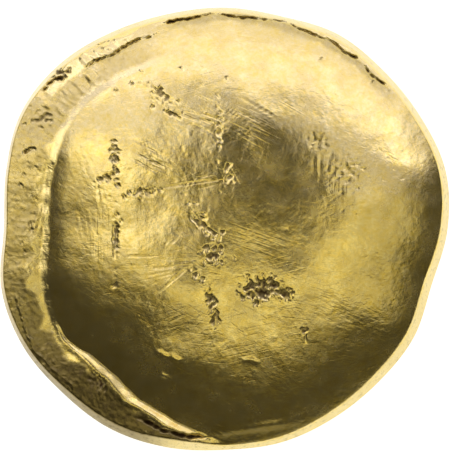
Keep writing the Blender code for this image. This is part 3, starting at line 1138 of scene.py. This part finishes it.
for x, y, half_length, half_breadth, turn, strength in FANS:
    streak = noise(hairlines, millimetres(hairlines, turn, FAN_STRETCH), FAN_LINES, 1.0)
    from_middle = {0: millimetres(hairlines), 1: (x, y, 0)}
    centred = node(hairlines, "ShaderNodeVectorMath", from_middle, operation="SUBTRACT").outputs[0]
    turned = mapped(hairlines, centred, Rotation=(0, 0, math.radians(-turn)))
    squeezed = mapped(hairlines, turned, Scale=(1 / half_length, 1 / half_breadth, 0))
    oval = node(hairlines, "ShaderNodeVectorMath", {0: squeezed}, operation="LENGTH").outputs["Value"]
    inside = spread(hairlines, oval, 1.1, 0.6, 0.0, strength)
    line = times(hairlines, spread(hairlines, streak, 0.50, 0.66), inside)
    lines = maths(hairlines, "ADD", lines, line)
node(hairlines, "NodeGroupOutput", {"Lines": lines})
print("hairlines in three directions, and", len(FANS), "fans")

# %% [markdown]
# The earth and the painted shade read the numbers from the mesh. Noise eats into their edge, so that it isn't a
# clean patch, and the coarse metal gets specks of earth too.

# %% The earth and the painted shade
earth_and_shade = new_group("earth_and_shade", ("Mask", "Coarse", "Rubbed_and_highlight"))
dirt_and_shade, coarse, rubbed_and_highlight = (number_on_mesh(earth_and_shade, name) for name in kinds)
crumbs = noise(earth_and_shade, millimetres(earth_and_shade), 5.0, 5.0, 0.7)
specks = times(earth_and_shade, spread(earth_and_shade, crumbs, 0.52, 0.66), times(earth_and_shade, coarse, 0.45))
eating = times(earth_and_shade, crumbs, 0.9)
eaten = maths(earth_and_shade, "SUBTRACT", times(earth_and_shade, dirt_and_shade, 1.7), eating, clamp=True)
mask = maths(earth_and_shade, "MAXIMUM", eaten, specks)
node(earth_and_shade, "NodeGroupOutput", {"Mask": mask, "Coarse": coarse, "Rubbed_and_highlight": rubbed_and_highlight})
print("the earth group reads", ", ".join(kinds))

# %% [markdown]
# Both materials are then built by one function, since the faces differ only in how worn and how dirty they are.
# Gold's colour is darker and redder where the metal is dull, darker still where it is coarse, which is partly
# painted shade, and paler and smoother where it is rubbed, which is partly painted highlight. Earth isn't a
# metal, so it takes the mirror away, and so does the painted shade in the seams and the groove.

# %% The two golds
DEEP_GOLD = (0.9, 0.66, 0.14, 1)
LIGHT_GOLD = (0.95, 0.78, 0.34, 1)
DULL_GOLD = (0.66, 0.5, 0.17, 1)
# darker coarse gold, partly painted shade on the ledge's outer flank and the margin inside the fold
COARSE_AND_SHADED_GOLD = (0.24, 0.18, 0.06, 1)
# paler rubbed gold, partly a painted highlight on the rim, the folded edge and the crest
PALE_GOLD = (0.88, 0.73, 0.36, 1)
# earth in the pits and on the hollow face, and painted shade in the seams and the groove
EARTH_AND_SHADE = (0.058, 0.028, 0.006, 1)
EARTH_AND_SHADE_SHEEN = 0.2  # specular level of the earth and the painted shade, since metal has its own
EARTH_AND_SHADE_COVER = 0.9  # how much of the mirror the earth and the painted shade take away
ROUGHENING = (0.1, -0.14, 0.35)  # by coarse metal, by rubbing, and by the earth and painted shade
HAIRLINE_DEPTH = 0.4  # as a share of the grain's height


def old_gold(name, roughness, dullness, grain_height, dirtiness):
    """roughness is its least and greatest, grain_height in microns, dullness and dirtiness from 0 to 1."""
    material = bpy.data.materials.new(name)
    material.use_nodes = True
    tree = material.node_tree
    shader = tree.nodes["Principled BSDF"]
    shader.inputs["Specular IOR Level"].default_value = EARTH_AND_SHADE_SHEEN
    groups = [node(tree, "ShaderNodeGroup", node_tree=group) for group in (grain, hairlines, earth_and_shade)]
    (height, mottle, tint), (lines,), (mask, coarse, rubbed_and_highlight) = (group.outputs for group in groups)
    # earth and painted shade: the dark seams and groove, the pits' earth and the hollow face's dirt
    soil_and_shade = maths(tree, "ADD", mask, spread(tree, mottle, 0.6, 1.2, 0, dirtiness), clamp=True)

    dulled = times(tree, mottle, dullness)
    gold = mix(tree, tint, DEEP_GOLD, LIGHT_GOLD)
    # darker where coarse, which is partly painted shade
    metal = mix(tree, coarse, mix(tree, dulled, gold, DULL_GOLD), COARSE_AND_SHADED_GOLD)
    # paler where rubbed, which also paints the highlight on the rim, the fold and the crest
    metal = mix(tree, rubbed_and_highlight, metal, PALE_GOLD)
    tree.links.new(mix(tree, soil_and_shade, metal, EARTH_AND_SHADE), shader.inputs["Base Color"])
    metallic = maths(tree, "SUBTRACT", 1.0, times(tree, soil_and_shade, EARTH_AND_SHADE_COVER))
    tree.links.new(metallic, shader.inputs["Metallic"])
    rough = spread(tree, mottle, 0, 1, *roughness)
    for rougher, where in zip(ROUGHENING, (coarse, rubbed_and_highlight, soil_and_shade)):
        rough = maths(tree, "ADD", rough, times(tree, where, rougher), clamp=True)
    tree.links.new(rough, shader.inputs["Roughness"])

    grown = times(tree, height, maths(tree, "ADD", coarse, 1.0))
    relief = maths(tree, "SUBTRACT", grown, times(tree, lines, HAIRLINE_DEPTH))
    bump = {"Height": relief, "Distance": grain_height * MICRON, "Strength": 1.0}
    tree.links.new(node(tree, "ShaderNodeBump", bump).outputs[0], shader.inputs["Normal"])
    return material


worn_gold = old_gold("worn_gold", (0.19, 0.29), 0.42, 4.5, 0.0)
hollow_gold = old_gold("hollow_gold", (0.32, 0.46), 0.8, 18, 0.35)
for material in (worn_gold, hollow_gold):
    coin.data.materials.append(material)
print("two golds from", len(bpy.data.node_groups), "shared groups")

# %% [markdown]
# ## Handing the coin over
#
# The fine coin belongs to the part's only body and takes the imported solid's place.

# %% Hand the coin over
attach(coin, "root")
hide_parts("stater_coin")
